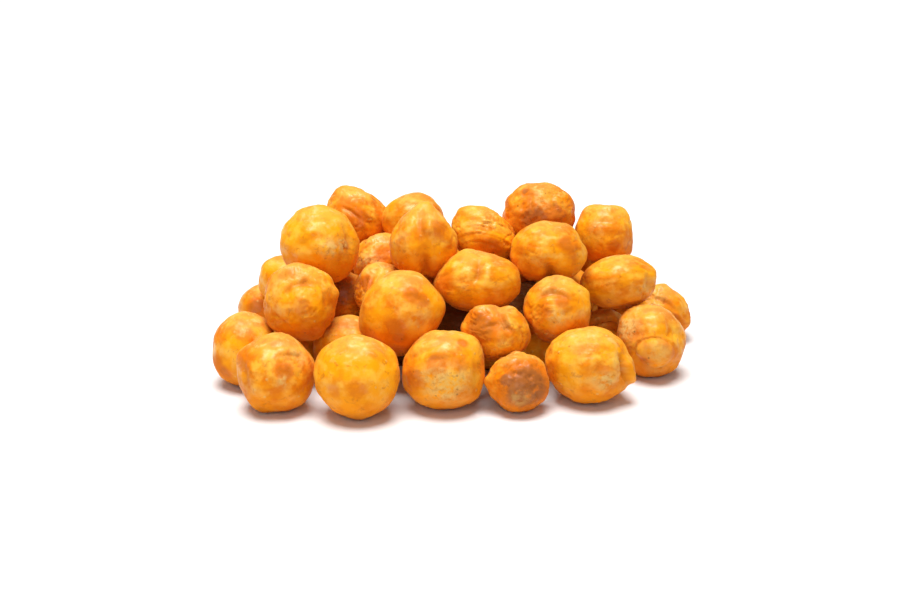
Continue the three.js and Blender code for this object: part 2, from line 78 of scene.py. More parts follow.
# From the nearest to the farthest: name, kind of skin, place across and up from the middle of the
# heap, width and height, lean in degrees, least distance back or FLOOR, and then the beaks and
# corners [right, up, toward, rise, reach] and furrows [right, up, toward, depth, turn].
IN_SIGHT = [
    ("round_front", "smooth", (-12.1, -10), (11.2, 10.9), 0, FLOOR,
     [[0.8, 0.55, 0.1, 0.051, 0.05], [-0.72, 0.68, 0.1, 0.034, 0.06], [-0.1, 0.95, 0.2, 0.034, 0.05],
      [-0.75, -0.65, 0.1, -0.034, 0.06]],
     []),
    ("shouldered", "worn", (-22.6, -9.6), (10.1, 9.9), 0, FLOOR,
     [[0.08, 1, 0.1, 0.085, 0.05], [-0.85, 0.5, 0.15, 0.085, 0.06], [0.95, 0.1, 0.1, 0.051, 0.06],
      [0.75, -0.65, 0.1, 0.085, 0.06], [-0.4, -0.9, 0.1, 0.085, 0.06], [-0.85, -0.5, 0.1, -0.068, 0.04],
      [0.65, 0.7, 0.15, -0.034, 0.04]],
     []),
    ("rubbed_front", "worn", (-0.9, -9.1), (10.8, 10.5), 0, FLOOR,
     [[0.78, 0.62, 0.15, 0.102, 0.05], [0.78, -0.66, 0.15, 0.102, 0.05],
      [-0.72, -0.66, 0.1, 0.034, 0.06], [-0.8, 0.6, 0.1, -0.051, 0.05]],
     [[-0.1, 0.9, 0.4, 0.05, 20]]),
    ("scorched_beak", "browned", (8.8, -10.7), (8, 7.9), 0, FLOOR,
     [[-1, 0.02, 0.1, 0.12, 0.02], [0.75, 0.65, 0.1, 0.051, 0.05], [-0.55, 0.8, 0.1, -0.034, 0.05]],
     [[-0.1, 0.5, 0.8, 0.04, 10]]),
    ("loose_skinned", "worn", (18, -8.5), (11.3, 9.8), -8, FLOOR,
     [[0.9, -0.42, 0.15, 0.111, 0.02], [0.97, 0.1, 0.2, 0.068, 0.04], [-0.75, 0.6, 0.15, 0.051, 0.08],
      [0.45, 0.85, 0.15, 0.051, 0.06]],
     [[0.8, 0.1, 0.55, 0.05, 75]]),
    ("left_end", "smooth", (-26.4, -6.5), (8.8, 9.6), 15, FLOOR,
     [[-0.1, 1, 0.1, 0.034, 0.05], [-0.75, -0.7, 0.1, 0.068, 0.06], [0.6, 0.8, 0.1, 0.034, 0.05]],
     []),
    ("knobbed", "worn", (26, -5.2), (8.6, 9.5), 12, FLOOR,
     [[0.12, -0.25, 0.96, 0.102, 0.08], [-0.8, 0.65, 0.2, 0.085, 0.06], [0.95, 0.1, 0.1, 0.051, 0.07],
      [0.8, -0.6, 0.1, 0.068, 0.06], [-0.3, -0.95, 0.2, 0.051, 0.06]],
     [[0.1, 0.15, 1, 0.08, 0]]),
    ("notched", "wrinkled", (6.1, -4.3), (8.8, 7.4), -10, -8,
     [[-0.5, 0.8, 0.35, 0.136, 0.06], [0.45, 0.85, 0.25, 0.12, 0.05], [0.1, -0.5, 0.9, 0.119, 0.1],
      [-0.98, 0.1, 0.15, 0.068, 0.04], [-0.6, -0.75, 0.1, -0.085, 0.06], [0.7, -0.7, 0.1, -0.051, 0.05]],
     [[0.12, 0.9, 0.4, 0.14, 75]]),
    ("blotched", "smooth", (-6.4, -1.6), (10.7, 10.7), 35, -8.5,
     [[0.98, 0.2, 0.15, 0.102, 0.05], [-0.1, -1, 0.1, 0.068, 0.07], [-0.88, -0.45, 0.1, 0.068, 0.06],
      [-0.72, 0.68, 0.1, -0.051, 0.06], [0.7, -0.7, 0.1, -0.051, 0.05]],
     []),
    ("pointed", "wrinkled", (-19.4, -0.3), (9.5, 10), 0, -3.6,
     [[0.98, 0.22, 0.1, 0.076, 0.01], [0.78, 0.65, 0.2, 0.085, 0.04], [-0.8, 0.62, 0.1, 0.051, 0.05],
      [-0.78, -0.6, 0.15, 0.068, 0.05], [0.5, -0.85, 0.1, 0.068, 0.06], [-0.2, 0.95, 0.2, 0.034, 0.05]],
     [[0, 0.55, 0.8, 0.05, 0]]),
    ("folded", "wrinkled", (13.9, -1.2), (8.8, 8.5), 40, -6,
     [[-0.85, 0.5, 0.25, 0.085, 0.04], [-0.15, 0.98, 0.2, 0.068, 0.06], [0.85, 0.5, 0.2, 0.068, 0.05],
      [0.9, -0.4, 0.15, 0.068, 0.06], [-0.3, -0.95, 0.15, 0.068, 0.07], [-0.8, -0.55, 0.1, -0.051, 0.05]],
     [[-0.1, 0.6, 0.75, 0.06, 20]]),
    ("tucked_in", "smooth", (-13.5, -6.4), (8.6, 8.6), 0, FLOOR,
     [[0.1, 0.9, 0.3, 0.068, 0.06]],
     []),
    ("streaky", "wrinkled", (-8.8, 1.2), (7.2, 7.4), 0, 0,
     [[-0.6, 0.7, 0.3, 0.13, 0.06], [-0.9, -0.1, 0.2, 0.068, 0.05]],
     [[-0.6, 0.3, 0.7, 0.06, 70]]),
    ("peaked", "lobed", (3.5, 2.3), (11, 7.9), -4, -2.5,
     [[-0.22, 0.97, 0.2, 0.16, 0.045], [0.72, 0.4, 0.45, 0.136, 0.12], [-0.95, -0.35, 0.1, 0.034, 0.08],
      [-0.7, 0.65, 0.1, -0.051, 0.06], [0.3, -0.95, 0.15, 0.051, 0.08]],
     [[-0.05, 0.1, 1, 0.06, 80]]),
    ("right_oval", "lobed", (21.8, 2.3), (9.8, 7), 8, 3.5,
     [[0.85, 0.35, 0.35, 0.085, 0.05], [0.25, 0.95, 0.15, 0.051, 0.08], [0.9, -0.4, 0.2, 0.068, 0.05]],
     []),
    ("specked_round", "worn", (-16.9, 7.3), (10.3, 9.8), -20, 4,
     [[0.5, -0.85, 0.1, 0.085, 0.08], [0.1, 1, 0.1, 0.034, 0.08], [-0.8, -0.6, 0.1, 0.034, 0.08]],
     [[0.68, 0, 0.7, 0.04, 80]]),
    ("low_front", "smooth", (5.1, -5.5), (7, 7), 0, FLOOR,
     [[0.2, 0.8, 0.5, 0.085, 0.06]],
     []),
    ("low_middle", "browned", (-0.3, -4.4), (6.5, 6.5), 0, FLOOR,
     [[0.4, 0.7, 0.5, 0.102, 0.06]],
     []),
    ("crumpled", "wrinkled", (19.9, -4.3), (6.8, 6.2), 0, FLOOR,
     [[0.2, 0.9, 0.4, 0.13, 0.05], [-0.8, 0.4, 0.3, 0.102, 0.04]],
     []),
    ("right_end", "wrinkled", (27.4, -1.7), (7.5, 7), -30, FLOOR,
     [[0.9, -0.3, 0.3, 0.117, 0.04], [0.1, 0.95, 0.2, 0.119, 0.06]],
     [[0.3, 0.3, 0.9, 0.06, -40]]),
    ("left_back", "smooth", (-21.3, 2.3), (7, 7), 0, 11.7,
     [[-0.7, 0.6, 0.2, 0.085, 0.08]],
     []),
    ("left_low", "smooth", (-24.2, -1.2), (6.5, 6.5), 0, FLOOR,
     [[-0.6, 0.3, 0.7, 0.102, 0.08], [0, 1, 0.1, 0.051, 0.05]],
     []),
    ("deep_in", "browned", (-13.9, 0), (7.3, 7.3), 0, 5,
     [[0.3, 0.6, 0.7, 0.085, 0.06]],
     []),
    ("cone", "lobed", (-3.5, 7.3), (8.8, 9.6), 0, 1,
     [[0.08, 1, 0.25, 0.19, 0.04], [0.25, 0.45, 0.85, 0.119, 0.05], [-0.85, -0.4, 0.2, 0.068, 0.06],
      [0.9, -0.35, 0.2, 0.068, 0.06], [-0.7, 0.65, 0.1, -0.068, 0.06], [0.75, 0.65, 0.1, -0.068, 0.06]],
     [[0.1, -0.85, 0.5, 0.1, 90]]),
    ("two_lobed", "lobed", (12.7, 6.4), (9.8, 7.9), 0, 1,
     [[0.98, -0.15, 0.2, 0.085, 0.07], [-0.55, -0.7, 0.35, 0.102, 0.1],
      [0.55, -0.75, 0.25, 0.085, 0.07], [0.9, 0.35, 0.1, -0.085, 0.03]],
     [[0.08, -0.95, 0.35, 0.16, 90]]),
    ("rough", "browned", (-8.8, 4.9), (7.3, 7.3), 0, 5,
     [[-0.6, 0.6, 0.4, 0.085, 0.06]],
     []),
    ("long_wrinkled", "wrinkled", (4.4, 8.3), (8.9, 7.1), -28, 7,
     [[-0.55, 0.85, 0.15, 0.13, 0.06], [0.85, -0.3, 0.2, 0.051, 0.06]],
     [[0.1, 0.3, 0.9, 0.08, -20]]),
    ("back_oval", "smooth", (-4.9, 10.4), (8.2, 6.8), 5, 11,
     [[0.1, 1, 0.1, 0.051, 0.08], [-0.8, 0.5, 0.1, -0.034, 0.06]],
     []),
    ("creased_back", "wrinkled", (-12.2, 10.5), (8.5, 7.6), -42, 9,
     [[-0.4, 0.95, 0.2, 0.136, 0.06], [0.9, 0.2, 0.1, 0.051, 0.06]],
     [[-0.15, 0.35, 0.9, 0.07, -35]]),
    ("topmost", "browned", (11.6, 11.1), (9.3, 8.4), 0, 9,
     [[-0.85, -0.3, 0.3, 0.068, 0.1], [-0.65, -0.75, 0.1, 0.068, 0.08], [0.85, 0.45, 0.1, 0.051, 0.05],
      [-0.65, 0.75, 0.1, 0.034, 0.05]],
     [[0.2, -0.35, 0.9, 0.05, 10]]),
    ("square_back", "lobed", (20, 8.6), (7.3, 7.8), 0, 9,
     [[0.75, 0.72, 0.1, 0.117, 0.06], [-0.65, 0.78, 0.15, 0.102, 0.06], [0.8, -0.65, 0.1, 0.119, 0.08],
      [0.05, 1, 0.1, -0.034, 0.04]],
     [[0, 0.5, 0.85, 0.07, 0]]),
]

# The ones at the back and inside, seen from above: across and behind the middle, and height.
INSIDE = [(-7.5, 8), (12.5, 0.8), (8, 9), (0.5, 13.5), (16, 13), (-8.5, 17), (7.5, 18)]
BEHIND_ON_THE_FLOOR = [
    (-20, 2.5), (-16, 13), (24, 18.5), (-19, 21.5), (-9.5, 24.3), (-1, 22.5), (16, 22), (5.5, 25),
]
BEHIND_HIGHER_UP = [
    (-15, 19, 10), (-5.5, 19.5, 10.5), (2.5, 18.5, 10.5), (11, 17.5, 10.5), (20.5, 14, 10),
    (8, 10.5, 9.5), (15, 6.5, 8.5), (-1, 10, 10),
]

cos_down = math.cos(math.radians(LOOK_DOWN_DEG))
sin_down = math.sin(math.radians(LOOK_DOWN_DEG))
eye = np.array([0, -EYE_DISTANCE * cos_down, MIDDLE_HEIGHT + EYE_DISTANCE * sin_down])
forward = np.array([0, cos_down, -sin_down])
upward = np.array([0, sin_down, cos_down])


def unit(vector):
    return np.asarray(vector, float) / math.sqrt(sum(value * value for value in vector))


def even_numbers(seed):
    """A fixed run of even numbers between 0 and 1, the same each time for one seed."""
    state = seed
    while True:
        state = state * DRAW_FACTOR % DRAW_RANGE
        yield state / DRAW_RANGE


def sight_line(across, up):
    way = forward + upward * up / EYE_DISTANCE
    way[0] += across / EYE_DISTANCE
    return unit(way)


def half_height(half):
    return math.hypot(half[1] * cos_down, half[2] * sin_down)


def length_behind(way, back, radius, placed):
    """How far along its sight line a chickpea lies, just behind those before it that it touches."""
    length = (back - eye[1]) / way[1]
    for other in placed:
        gap = (radius + other["radius"]) * TOUCH
        to_other = other["centre"] - eye
        beside = to_other @ way
        square = beside * beside - to_other @ to_other + gap * gap
        if square > 0:
            reach = math.sqrt(square)
            if beside - reach - ROOM_IN_FRONT < length < beside + reach:
                length = beside + reach
    return length


def place_in_sight():
    placed = []
    for name, kind, at, size, lean, back, bumps, furrows in IN_SIGHT:
        way = sight_line(*at)
        nearness = 1
        for _ in range(PLACING_ROUNDS):
            wide, tall = size[0] / 2 * nearness, size[1] / 2 * nearness
            half = (wide, tall, (wide + tall) / 2)
            radius = (wide + tall) / 2
            if back == FLOOR:
                length = (half_height(half) - FLAT_SPOT_DEPTH - eye[2]) / way[2]
            else:
                length = length_behind(way, back, radius, placed)
            centre = eye + way * length
            nearness = (centre - eye) @ forward / EYE_DISTANCE
        placed.append({
            "name": name, "kind": kind, "centre": centre, "half": half, "radius": radius, "lean": lean,
            "on_floor": back == FLOOR, "bumps": bumps, "furrows": furrows, "held": True,
        })
    return placed


def push_apart(peas, level):
    """Moves every two chickpeas that are closer than touching apart. Held ones stay."""
    axes = 2 if level else 3
    for number, one in enumerate(peas):
        for two in peas[number + 1:]:
            if one["held"] and two["held"]:
                continue
            reach = (one["radius"] + two["radius"]) * TOUCH
            apart = two["centre"] - one["centre"]
            square = apart @ apart
            if square < reach * reach:
                push = apart[:axes] * (reach - math.sqrt(square)) / math.sqrt(square)
                share = 0 if one["held"] else 1 if two["held"] else 0.5
                one["centre"][:axes] -= push * share
                two["centre"][:axes] += push * (1 - share)


def settle_hidden(peas):
    """The hidden ones: first those on the table, then those that drop into their hollows."""
    draw = even_numbers(SEED)
    for _ in range(SKIPPED_DRAWS):
        next(draw)

    def grow(x, y, z=None):
        radius = HIDDEN_RADIUS + HIDDEN_RADIUS_SPREAD * next(draw)
        lean = 180 * next(draw)
        beak = [next(draw) - 0.5, next(draw) - 0.3, next(draw) - 0.8, *HIDDEN_BEAK]
        return {
            "name": "buried", "kind": "buried",
            "centre": np.array([x, y, radius if z is None else z], float),
            "half": (radius * HIDDEN_WIDE, radius * HIDDEN_TALL, radius), "radius": radius, "lean": lean,
            "on_floor": z is None, "bumps": [beak], "furrows": [], "held": False,
        }

    low = [grow(*place) for place in INSIDE + BEHIND_ON_THE_FLOOR]
    peas += low
    on_the_floor = [pea for pea in peas if pea["centre"][2] < pea["radius"] + LOW_DOWN]
    for _ in range(SPREADING_ROUNDS):
        push_apart(on_the_floor, True)
    for pea in low:
        pea["held"] = True
    high = [grow(*place) for place in BEHIND_HIGHER_UP]
    peas += high
    for step in range(SETTLE_STEPS):
        for pea in high:
            pea["centre"][2] -= SETTLE_DROP * (1 - step / SETTLE_STEPS)
        for _ in range(PUSHES_A_STEP):
            push_apart(peas, False)
            for pea in high:
                pea["centre"][2] = max(pea["centre"][2], pea["radius"])
    return peas


heap = settle_hidden(place_in_sight())

# ------------------------------------------------------------------------------------------------
# The smooth chickpeas. The plumpest ones, whose skin stayed tight in the oil: a thin amber seed coat
# over two halves, taut and glossy. Each is a ball drawn out into its beak and corners, and a run of
# nodes then swells its skin into the soft waves that frying leaves.
# ------------------------------------------------------------------------------------------------
LUMPS = 6
LUMP_RISE = 0.045
LUMP_REACH = 0.1
FURROW_WIDTH = 0.16
SIDES_IN_SIGHT = 40

# Folds and marks on the skin. A fold's lip stands LIP_ASIDE groove widths beside its groove and is
# LIP_WIDTH of them wide. From DEEP_FOLD on, in mm, a groove gets the full painted shade of a crease.
FOLD_STEPS = 12
FOLD_STRENGTH = 1.5
FOLD_END_FADE = 0.6
DEEP_FOLD = 0.25
LIP_ASIDE = 1.9
LIP_WIDTH = 1.3
RING_LIP_WIDTH = 1.5
RING_SHARP_SIDE = (-0.5, 0.85)
MARK_REACH = 0.4
MARK_STRENGTH = 1.6

draw_lumps = even_numbers(SEED + 1)
for chickpea in heap:
    chickpea["lumps"] = []
    for _ in range(LUMPS):
        lump_way = unit([next(draw_lumps) - 0.5 for _ in range(3)])
        chickpea["lumps"].append((lump_way, LUMP_RISE * (2 * next(draw_lumps) - 1)))


def ball(sides):
    """An even ball of quads: a cube whose six faces of sides by sides are blown up round."""
    steps = np.tan(np.linspace(-1, 1, sides + 1) * math.pi / 4)
    corners = {}
    quads = []
    for axis in range(3):
        for end in (-1, 1):
            grid = {}
            for i, across in enumerate(steps):
                for j, along in enumerate(steps):
                    place = np.zeros(3)
                    place[axis] = end
                    place[(axis + 1) % 3] = across
                    place[(axis + 2) % 3] = along
                    key = tuple(np.round(place, 6) + 0.0)
                    grid[i, j] = corners.setdefault(key, len(corners))
            for i in range(sides):
                for j in range(sides):
                    ring = [grid[i, j], grid[i + 1, j], grid[i + 1, j + 1], grid[i, j + 1]]
                    quads.append(ring if end > 0 else ring[::-1])
    ways = np.array(list(corners))
    return ways / np.linalg.norm(ways, axis=1)[:, None], np.array(quads)


def swell(ways, pea):
    """How far the skin lies from the centre each way, over an even oval."""
    far = np.ones(len(ways))
    for lump_way, rise in pea["lumps"]:
        far += rise * np.exp((ways @ lump_way - 1) / LUMP_REACH)
    for right, up, toward, rise, reach in pea["bumps"]:
        far += rise * np.exp((ways @ unit([right, up, toward]) - 1) / reach)
    for right, up, toward, depth, turn in pea["furrows"]:
        middle = unit([right, up, toward])
        across = np.array([-math.sin(math.radians(turn)), math.cos(math.radians(turn)), 0])
        aside = ways @ across - middle @ across
        facing = np.maximum(0, ways @ middle)
        far -= depth * np.exp(-(aside / FURROW_WIDTH) ** 2) * facing ** 2
    return far


def along_fold(ways, path):
    """Signed distance of every way from a bent line over the front of the chickpea, and its fade."""
    start, middle, end = (np.array(point, float) for point in path)
    bends = np.linspace(0, 1, FOLD_STEPS + 1)[:, None]
    line = start * (1 - bends) ** 2 + 2 * middle * bends * (1 - bends) + end * bends ** 2
    spots = ways[:, :2]
    nearest = np.full(len(ways), np.inf)
    side = np.zeros(len(ways))
    share = np.zeros(len(ways))
    for number in range(FOLD_STEPS):
        step = line[number + 1] - line[number]
        reach = np.clip((spots - line[number]) @ step / (step @ step), 0, 1)
        offset = spots - line[number] - reach[:, None] * step
        distance = np.linalg.norm(offset, axis=1)
        closer = distance < nearest
        nearest[closer] = distance[closer]
        side[closer] = np.sign(step[0] * offset[:, 1] - step[1] * offset[:, 0])[closer]
        share[closer] = ((number + reach) / FOLD_STEPS)[closer]
    fade = np.sin(np.pi * np.clip(share, 0.02, 0.98)) ** FOLD_END_FADE * (ways[:, 2] > -0.1)
    return nearest * side, fade


def along_ring(ways, middle, half):
    """Distance of every way inside an oval over the front of the chickpea, and the fade of its rim,
    which is sharp at the upper left and runs out at the lower right."""
    spots = (ways[:, :2] - middle) / half
    from_middle = np.linalg.norm(spots, axis=1)
    sharp_side = spots @ np.array(RING_SHARP_SIDE) / np.maximum(from_middle, 0.1)
    return (1 - from_middle) * min(half), np.clip(0.4 + 0.6 * sharp_side, 0, 1) * (ways[:, 2] > 0)


def chickpea_skin(pea, sides, folds, marks):
    """Places on one chickpea's skin, with what its finish reads at each: grain, rubbed, scorched, crease
    shade painted into the grooves, and crown, 1 at the top and -1 underneath, for painted light and
    shade."""
    ways, quads = ball(sides)
    far = swell(ways, pea)
    crease_shade = np.zeros(len(ways))
    for path, depth, width, lip in folds:
        spread = width / pea["radius"]
        if len(path) == 2:
            aside, fade = along_ring(ways, *path)
            inside = np.maximum(aside, 0) / (RING_LIP_WIDTH * spread)
            roll = (1 - np.exp(-inside ** 2)) * (ways[:, 2] > 0)
        else:
            aside, fade = along_fold(ways, path)
            roll = np.exp(-((aside - LIP_ASIDE * spread) / (LIP_WIDTH * spread)) ** 2) * fade
        groove = np.exp(-(aside / spread) ** 2) * fade
        far += FOLD_STRENGTH * (lip * roll - depth * groove) / pea["radius"]
        # The crease tone is painted shade, darkest where the groove is deep.
        crease_shade = np.maximum(crease_shade, groove * min(1, depth / DEEP_FOLD))
    lean = math.radians(pea["lean"])
    turn = np.array([
        [math.cos(lean), -math.sin(lean), 0], [math.sin(lean), math.cos(lean), 0], [0, 0, 1],
    ])
    shape = (ways @ turn) * np.array(pea["half"]) * far[:, None] @ turn.T
    away = np.array([0, -cos_down, sin_down])
    places = pea["centre"] + shape[:, :1] * [1, 0, 0] + shape[:, 1:2] * upward + shape[:, 2:] * away
    if pea["on_floor"]:
        places[:, 2] -= places[:, 2].min() + FLAT_SPOT_DEPTH
    outward = places - pea["centre"]
    tones = {
        "rubbed": np.zeros(len(ways)), "scorched": np.zeros(len(ways)), "crease_shade": crease_shade,
        "crown": outward[:, 2] / np.linalg.norm(outward, axis=1),
    }
    for tone, right, up, size, strength in marks:
        toward = math.sqrt(max(0.04, 1 - right * right - up * up))
        nearness = np.exp((ways @ unit([right, up, toward]) - 1) / (MARK_REACH * size * size))
        tones[tone] = np.maximum(tones[tone], strength * np.minimum(1, MARK_STRENGTH * nearness))
    return places, quads, ways * pea["radius"], tones


def node(tree, kind, inputs=(), **settings):
    """One node in a tree, with its settings, and with its inputs set or linked."""
    made = tree.nodes.new(kind)
    for name, value in settings.items():
        setattr(made, name, value)
    for name, value in dict(inputs).items():
        if isinstance(value, bpy.types.NodeSocket):
            tree.links.new(value, made.inputs[name])
        else:
            made.inputs[name].default_value = value
    return made


def result(tree, kind, inputs=(), **settings):
    """The first output of one new node."""
    return node(tree, kind, inputs, **settings).outputs[0]


def calculate(tree, operation, *values):
    return result(tree, "ShaderNodeMath", enumerate(values), operation=operation)


def ramp(tree, value, low, high, to_low=0.0, to_high=1.0):
    inputs = {"Value": value, "From Min": low, "From Max": high, "To Min": to_low, "To Max": to_high}
    return result(tree, "ShaderNodeMapRange", inputs, interpolation_type="SMOOTHSTEP")


def noise(tree, place, scale, detail=2.0, roughness=0.5, distortion=0.0):
    inputs = {"Vector": place, "Scale": scale, "Detail": detail, "Roughness": roughness}
    return result(tree, "ShaderNodeTexNoise", {**inputs, "Distortion": distortion})


def skin_relief_tree():
    """Swells a chickpea's skin: soft waves all over, sharp wrinkles where it shrank, and a flat spot
    where it lies on the table. Sizes are in mm."""
    tree = bpy.data.node_groups.new("skin_relief", "GeometryNodeTree")
    sizes = {
        "Wave Height": 0.1, "Wave Size": 2.6, "Wrinkle Depth": 0.1, "Wrinkle Size": 1.4,
        "Wrinkled Share": 0.4, "Seed": 0.0,
    }
    tree.interface.new_socket("Skin", in_out="INPUT", socket_type="NodeSocketGeometry")
    for name, value in sizes.items():
        size = tree.interface.new_socket(name, in_out="INPUT", socket_type="NodeSocketFloat")
        size.default_value = value
    tree.interface.new_socket("Finish", in_out="INPUT", socket_type="NodeSocketMaterial")
    tree.interface.new_socket("Skin", in_out="OUTPUT", socket_type="NodeSocketGeometry")
    given = node(tree, "NodeGroupInput").outputs
    grain = result(tree, "GeometryNodeInputNamedAttribute", {"Name": "grain"}, data_type="FLOAT_VECTOR")
    shift = result(tree, "ShaderNodeCombineXYZ", {"X": given["Seed"]})
    place = result(tree, "ShaderNodeVectorMath", enumerate([grain, shift]), operation="ADD")

    wave_scale = calculate(tree, "DIVIDE", 1.0, given["Wave Size"])
    waves = calculate(tree, "SUBTRACT", noise(tree, place, wave_scale, 2.0, 0.45), 0.5)
    waves = calculate(tree, "MULTIPLY", waves, calculate(tree, "MULTIPLY", given["Wave Height"], 2.0))

    wrinkle_scale = calculate(tree, "DIVIDE", 1.0, given["Wrinkle Size"])
    lines = calculate(tree, "SUBTRACT", noise(tree, place, wrinkle_scale, 1.5, 0.5, 0.7), 0.5)
    lines = ramp(tree, calculate(tree, "ABSOLUTE", lines), 0.0, 0.09, 1.0, 0.0)
    shrunk = calculate(tree, "SUBTRACT", 1.0, given["Wrinkled Share"])
    shrunk_edge = calculate(tree, "ADD", shrunk, 0.18)
    patches = noise(tree, place, calculate(tree, "MULTIPLY", wave_scale, 0.7), 1.0)
    patches = ramp(tree, ramp(tree, patches, 0.3, 0.7), shrunk, shrunk_edge)
    lines = calculate(tree, "MULTIPLY", lines, patches)
    sunk = calculate(tree, "MULTIPLY", lines, given["Wrinkle Depth"])

    height = calculate(tree, "MULTIPLY", calculate(tree, "SUBTRACT", waves, sunk), MM)
    outward = result(tree, "GeometryNodeInputNormal")
    offset = result(tree, "ShaderNodeVectorMath", {0: outward, "Scale": height}, operation="SCALE")
    swollen = result(tree, "GeometryNodeSetPosition", {"Geometry": given["Skin"], "Offset": offset})

    position = result(tree, "GeometryNodeInputPosition")
    there = node(tree, "ShaderNodeSeparateXYZ", {0: position}).outputs
    resting = calculate(tree, "MAXIMUM", there["Z"], 0.0)
    level = result(tree, "ShaderNodeCombineXYZ", {"X": there["X"], "Y": there["Y"], "Z": resting})
    rested = result(tree, "GeometryNodeSetPosition", {"Geometry": swollen, "Position": level})

    # The wrinkle lines are stored for the finish, which paints shade into them.
    shown = {"Geometry": rested, "Name": "wrinkle", "Value": lines}
    marked = result(tree, "GeometryNodeStoreNamedAttribute", shown, data_type="FLOAT", domain="POINT")
    smooth = result(tree, "GeometryNodeSetShadeSmooth", {"Geometry": marked})
    whole = result(tree, "GeometryNodeRealizeInstances", {"Geometry": smooth})
    finished = result(tree, "GeometryNodeSetMaterial", {"Geometry": whole, "Material": given["Finish"]})
    node(tree, "NodeGroupOutput", {"Skin": finished})
    return tree


skin_relief = skin_relief_tree()
GRAIN_APART = (31.7, 17.3, 0)
TINT_SPREAD = 0.25
TINT_TURN = 2.4


def chickpea_piece(name, kind, sides, details, relief, finish):
    """Joins the chickpeas of one kind into one mesh and swells their skins. The grain of each starts
    at a place of its own, and its colour is a little lighter or deeper."""
    places, quads, grain = [], [], []
    tones = {"rubbed": [], "scorched": [], "crease_shade": [], "crown": [], "tint": []}
    count = 0
    for number, pea in enumerate(heap):
        if pea["kind"] != kind:
            continue
        folds, marks, tint = details.get(pea["name"], ([], [], 0.0))
        spots, rings, local, masks = chickpea_skin(pea, sides, folds, marks)
        places.append(spots * MM)
        quads.append(rings + count)
        grain.append(local + [apart * number for apart in GRAIN_APART])
        for tone, mask in masks.items():
            tones[tone].append(mask)
        tones["tint"].append(np.full(len(spots), tint + TINT_SPREAD * math.sin(TINT_TURN * number)))
        count += len(spots)
    mesh = bpy.data.meshes.new(name)
    mesh.from_pydata(np.concatenate(places), [], np.concatenate(quads))
    mesh.attributes.new("grain", "FLOAT_VECTOR", "POINT").data.foreach_set(
        "vector", np.concatenate(grain).astype(np.float32).ravel())
    for tone, masks in tones.items():
        mesh.attributes.new(tone, "FLOAT", "POINT").data.foreach_set(
            "value", np.concatenate(masks).astype(np.float32))
    rough = bpy.data.objects.new(name + "_rough", mesh)
    bpy.context.scene.collection.objects.link(rough)
    modifier = rough.modifiers.new("skin_relief", "NODES")
    modifier.node_group = skin_relief
    named = skin_relief.interface.items_tree
    sockets = {item.name: item.identifier for item in named if item.in_out == "INPUT"}
    for size, value in relief.items():
        modifier[sockets[size]] = float(value)
    modifier[sockets["Finish"]] = finish
    evaluated = rough.evaluated_get(bpy.context.evaluated_depsgraph_get())
    done = bpy.data.meshes.new_from_object(evaluated)
    done.name = name
    bpy.data.objects.remove(rough)
    bpy.data.meshes.remove(mesh)
    piece = bpy.data.objects.new(name, done)
    bpy.context.scene.collection.objects.link(piece)
    return piece


